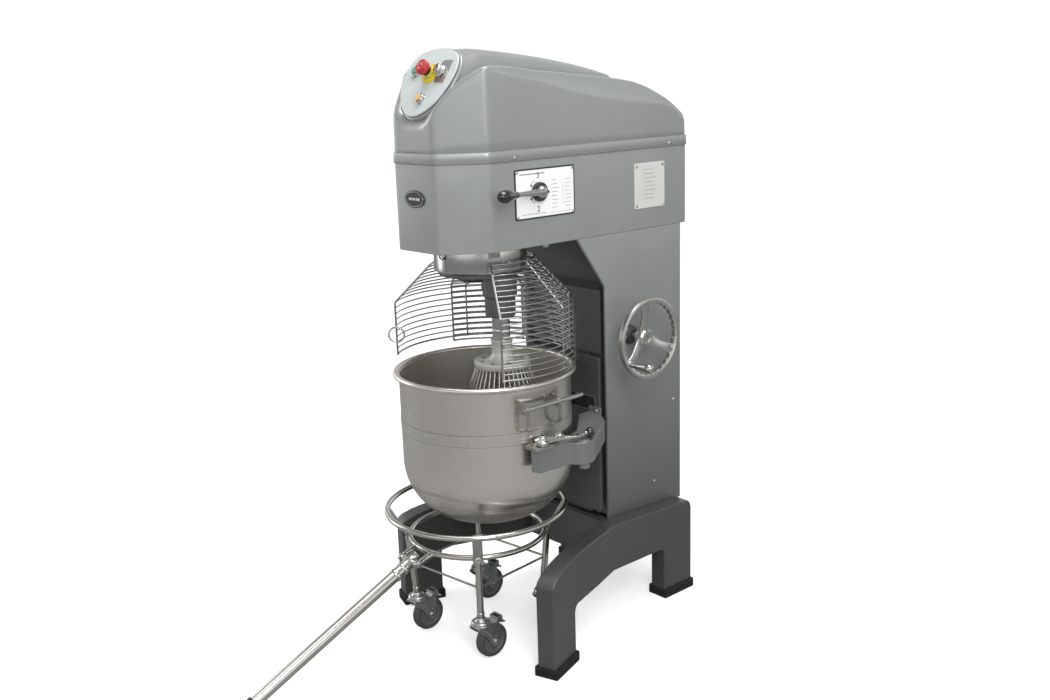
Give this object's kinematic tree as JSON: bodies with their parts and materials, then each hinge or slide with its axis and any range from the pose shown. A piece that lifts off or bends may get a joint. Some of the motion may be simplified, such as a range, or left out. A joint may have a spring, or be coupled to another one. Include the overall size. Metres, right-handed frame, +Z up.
{
  "type": "commercial_planetary_mixer",
  "caption": "Floor-standing commercial planetary mixer with lifting stainless bowl, wire bowl guard, side handwheel and a wheeled bowl dolly.",
  "frame": {"origin": "centre of the footprint box, on the floor", "axes": "+Z up, -Y front, +X handwheel side"},
  "size_m": [0.7456, 1.5622, 1.7014],
  "materials": {
    "dark_paint": "satin",
    "grey_paint": "satin",
    "rubber": "matte",
    "iron": "machined",
    "stainless": "brushed",
    "chrome": "polished",
    "black_plastic": "gloss",
    "aluminium": "turned",
    "panel_film": "satin",
    "green_plastic": "gloss",
    "amber_plastic": "gloss",
    "red_plastic": "gloss",
    "yellow_plastic": "satin",
    "white_enamel": "satin",
    "zinc": "zinc plated",
    "tyre_rubber": "matte"
  },
  "bodies": {
    "frame": {"base_leg_left": "dark_paint", "base_leg_right": "dark_paint", "foot_front_left": "rubber", "foot_front_right": "rubber", "foot_rear_left": "rubber", "foot_rear_right": "rubber", "base_cross_frame": "dark_paint", "column": "grey_paint", "column_back_panel": "grey_paint", "slideway": "iron", "head_housing": "grey_paint", "head_cover": "grey_paint", "control_panel": "panel_film", "stop_collar": "yellow_plastic", "timer_plate": "aluminium", "badge": "black_plastic", "speed_plate": "white_enamel", "data_plate": "aluminium", "planetary_drum": "aluminium", "ring_gear": "iron", "motor": "iron", "drive_belt": "rubber", "guard_rear": "stainless"},
    "bowl_lift": {"lift_carriage": "dark_paint", "bowl_arm_left": "dark_paint", "bowl_arm_right": "dark_paint", "bowl": "stainless", "bowl_handle_left": "stainless", "bowl_handle_right": "stainless"},
    "screw": {"lift_screw": "stainless"},
    "wheel": {"handwheel": "aluminium", "handwheel_shaft": "stainless"},
    "crank": {"crank_handle": "chrome"},
    "clamp_left": {"bowl_clamp_left": "chrome", "bowl_clamp_knob_left": "black_plastic"},
    "clamp_right": {"bowl_clamp_right": "chrome", "bowl_clamp_knob_right": "black_plastic"},
    "lever": {"speed_lever": "chrome", "speed_lever_knob": "black_plastic"},
    "start": {"start_button": "green_plastic"},
    "inching": {"inching_button": "amber_plastic"},
    "stop": {"stop_button": "red_plastic"},
    "timer": {"timer_knob": "aluminium"},
    "planetary": {"planet_carrier": "iron", "driven_pulley": "iron"},
    "beater": {"beater_shaft": "chrome", "whisk": "stainless", "planet_pinion": "iron"},
    "motor_drive": {"motor_pulley": "iron"},
    "gate": {"guard_gate": "stainless"},
    "dolly": {"dolly_frame": "chrome"},
    "pull_handle": {"dolly_handle": "chrome"},
    "fork_1": {"caster_fork_1": "zinc"},
    "roller_1": {"caster_wheel_1": "tyre_rubber"},
    "fork_2": {"caster_fork_2": "zinc"},
    "roller_2": {"caster_wheel_2": "tyre_rubber"},
    "fork_3": {"caster_fork_3": "zinc"},
    "roller_3": {"caster_wheel_3": "tyre_rubber"},
    "fork_4": {"caster_fork_4": "zinc"},
    "roller_4": {"caster_wheel_4": "tyre_rubber"}
  },
  "joints": [
    {"name": "bowl_lift_slide", "type": "slide", "parent": "frame", "child": "bowl_lift", "axis": [0, 0, 1], "range_m": [-0.06, 0]},
    {"name": "screw_turn", "type": "hinge", "parent": "frame", "child": "screw", "pos_m": [0, 0.46077, 0.6], "axis": [0, 0, 1], "range_deg": [0, 1800]},
    {"name": "handwheel_turn", "type": "hinge", "parent": "frame", "child": "wheel", "pos_m": [0.2703, 0.50577, 0.8667], "axis": [1, 0, 0], "range_deg": [0, 1800]},
    {"name": "crank_spin", "type": "hinge", "parent": "wheel", "child": "crank", "pos_m": [0.2703, 0.42239, 0.80387], "axis": [1, 0, 0], "continuous": true},
    {"name": "clamp_left_swing", "type": "hinge", "parent": "bowl_lift", "child": "clamp_left", "pos_m": [-0.278, 0.06777, 0.652], "axis": [0, 0, 1], "range_deg": [0, 100]},
    {"name": "clamp_right_swing", "type": "hinge", "parent": "bowl_lift", "child": "clamp_right", "pos_m": [0.278, 0.06777, 0.652], "axis": [0, 0, 1], "range_deg": [-100, 0]},
    {"name": "speed_lever_turn", "type": "hinge", "parent": "frame", "child": "lever", "pos_m": [0.183, 0.16577, 1.319], "axis": [1, 0, 0], "range_deg": [-35, 35]},
    {"name": "start_press", "type": "slide", "parent": "frame", "child": "start", "axis": [0, 0.8306, -0.5569], "range_m": [0, 0.003]},
    {"name": "inching_press", "type": "slide", "parent": "frame", "child": "inching", "axis": [0, 0.8306, -0.5569], "range_m": [0, 0.003]},
    {"name": "stop_press", "type": "slide", "parent": "frame", "child": "stop", "axis": [0, 0.8306, -0.5569], "range_m": [0, 0.004]},
    {"name": "timer_turn", "type": "hinge", "parent": "frame", "child": "timer", "pos_m": [0.043, -0.0315, 1.63696], "axis": [0, -0.8306, 0.5569], "range_deg": [-300, 0]},
    {"name": "planetary_spin", "type": "hinge", "parent": "frame", "child": "planetary", "pos_m": [0, 0.10377, 1.086], "axis": [0, 0, 1], "continuous": true},
    {"name": "beater_spin", "type": "hinge", "parent": "planetary", "child": "beater", "pos_m": [0.08, 0.10377, 0.876], "axis": [0, 0, 1], "continuous": true},
    {"name": "motor_spin", "type": "hinge", "parent": "frame", "child": "motor_drive", "pos_m": [0, 0.60377, 1.204], "axis": [0, 0, 1], "continuous": true},
    {"name": "gate_swing", "type": "hinge", "parent": "frame", "child": "gate", "pos_m": [0, 0.10377, 0.854], "axis": [0, 0, 1], "range_deg": [0, 102]},
    {"name": "dolly_centring", "type": "slide", "parent": "frame", "child": "dolly", "axis": [0.3996, 0.9167, 0], "range_m": [0, 0.04254]},
    {"name": "pull_handle_tilt", "type": "hinge", "parent": "dolly", "child": "pull_handle", "pos_m": [-0.017, -0.18223, 0.3], "axis": [1, 0, 0], "range_deg": [-80, 0]},
    {"name": "caster_1_swivel", "type": "hinge", "parent": "dolly", "child": "fork_1", "pos_m": [0.12988, -0.05417, 0.12], "axis": [0, 0, 1], "continuous": true},
    {"name": "caster_1_roll", "type": "hinge", "parent": "fork_1", "child": "roller_1", "pos_m": [0.12988, -0.01817, 0.05], "axis": [1, 0, 0], "continuous": true},
    {"name": "caster_2_swivel", "type": "hinge", "parent": "dolly", "child": "fork_2", "pos_m": [0.10194, 0.21165, 0.12], "axis": [0, 0, 1], "continuous": true},
    {"name": "caster_2_roll", "type": "hinge", "parent": "fork_2", "child": "roller_2", "pos_m": [0.10194, 0.24765, 0.05], "axis": [1, 0, 0], "continuous": true},
    {"name": "caster_3_swivel", "type": "hinge", "parent": "dolly", "child": "fork_3", "pos_m": [-0.16388, 0.18371, 0.12], "axis": [0, 0, 1], "continuous": true},
    {"name": "caster_3_roll", "type": "hinge", "parent": "fork_3", "child": "roller_3", "pos_m": [-0.16388, 0.21971, 0.05], "axis": [1, 0, 0], "continuous": true},
    {"name": "caster_4_swivel", "type": "hinge", "parent": "dolly", "child": "fork_4", "pos_m": [-0.13594, -0.08211, 0.12], "axis": [0, 0, 1], "continuous": true},
    {"name": "caster_4_roll", "type": "hinge", "parent": "fork_4", "child": "roller_4", "pos_m": [-0.13594, -0.04611, 0.05], "axis": [1, 0, 0], "continuous": true}
  ],
  "couplings": [
    {"joint": "screw_turn", "follows": "bowl_lift_slide", "rad_per_m": -523.6},
    {"joint": "handwheel_turn", "follows": "bowl_lift_slide", "rad_per_m": -523.6},
    {"joint": "dolly_centring", "follows": "bowl_lift_slide", "ratio": -0.70907},
    {"joint": "beater_spin", "follows": "planetary_spin", "ratio": -5},
    {"joint": "motor_spin", "follows": "planetary_spin", "ratio": 2.4}
  ]
}
